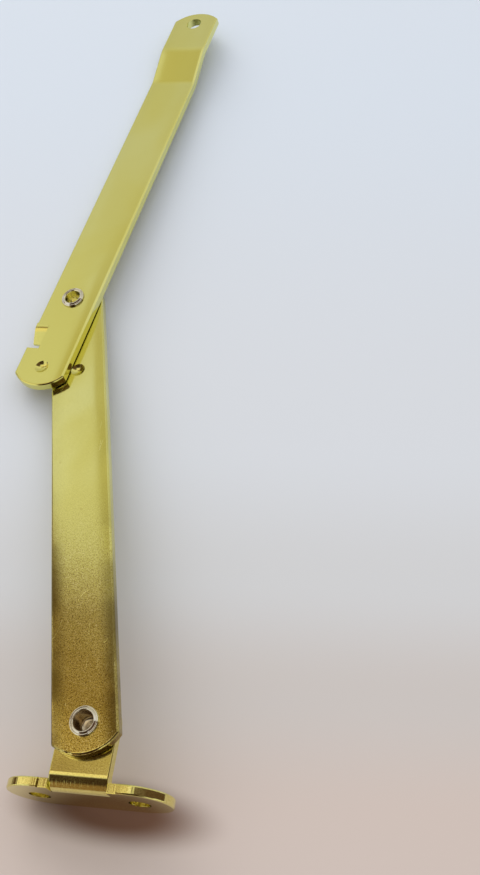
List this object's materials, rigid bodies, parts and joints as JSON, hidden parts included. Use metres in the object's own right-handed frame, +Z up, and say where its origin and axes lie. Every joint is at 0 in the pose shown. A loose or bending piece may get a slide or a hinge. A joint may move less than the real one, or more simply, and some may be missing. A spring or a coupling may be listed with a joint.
{
  "type": "lid stay",
  "caption": "Folding lid stay: a bent screw-on foot and flat arms on semi-tubular rivets, with a stop tab at the elbow and a stepped end for the lid screw.",
  "frame": {"origin": "midway between the foot's two screw holes, on the plate's front face", "axes": "+X along the line of the foot's screw holes, +Y from the plate towards the foot rivet, +Z up along both rivets"},
  "size_m": [0.0508, 0.2125, 0.0211],
  "materials": {
    "brass_plate": "bright brass plating on steel strip",
    "rivet_nickel": "pale nickel-plated rivet"
  },
  "bodies": {
    "foot": {"mounting_foot": "brass_plate", "foot_rivet": "rivet_nickel"},
    "lower_arm": {"lower_arm": "brass_plate", "elbow_rivet": "rivet_nickel"},
    "upper_arm": {"upper_arm": "brass_plate"}
  },
  "joints": [
    {"name": "foot_pivot", "type": "hinge", "parent": "foot", "child": "lower_arm", "pos_m": [0, 0.0116, 0], "axis": [0, 0, 1], "continuous": true},
    {"name": "elbow", "type": "hinge", "parent": "lower_arm", "child": "upper_arm", "pos_m": [-0.02519, 0.11044, 0], "axis": [0, 0, 1], "range_deg": [-157.2, 0]}
  ]
}
